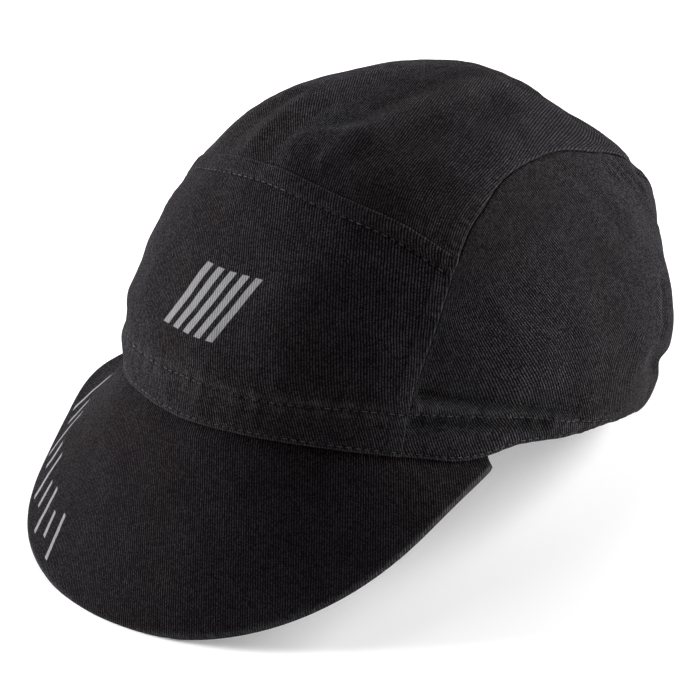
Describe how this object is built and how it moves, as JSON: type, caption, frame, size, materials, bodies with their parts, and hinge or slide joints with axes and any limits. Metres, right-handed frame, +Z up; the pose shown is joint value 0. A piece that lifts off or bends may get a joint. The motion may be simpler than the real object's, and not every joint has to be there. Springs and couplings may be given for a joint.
{
  "type": "cap",
  "caption": "Soft panelled cloth cap with a deep rounded crown, arched top seams and a short steep peak, standing on its peak and back hem.",
  "frame": {"origin": "centre of the bounding box on the floor, under the middle of the resting cap", "axes": "+Z up as the cap stands, +X towards the wearer's left, peak towards -Y"},
  "size_m": [0.173, 0.2516, 0.1455],
  "materials": {
    "crown_cloth": "washed black cotton twill, matt",
    "peak_cloth": "washed black cotton twill over a firm core, matt",
    "band_cloth": "black cotton tape, matt"
  },
  "bodies": {
    "root": {"front_panel": "crown_cloth", "top_panel_left": "crown_cloth", "top_panel_right": "crown_cloth", "side_panel_left": "crown_cloth", "side_panel_right": "crown_cloth", "peak": "peak_cloth", "sweatband": "band_cloth"}
  },
  "joints": []
}
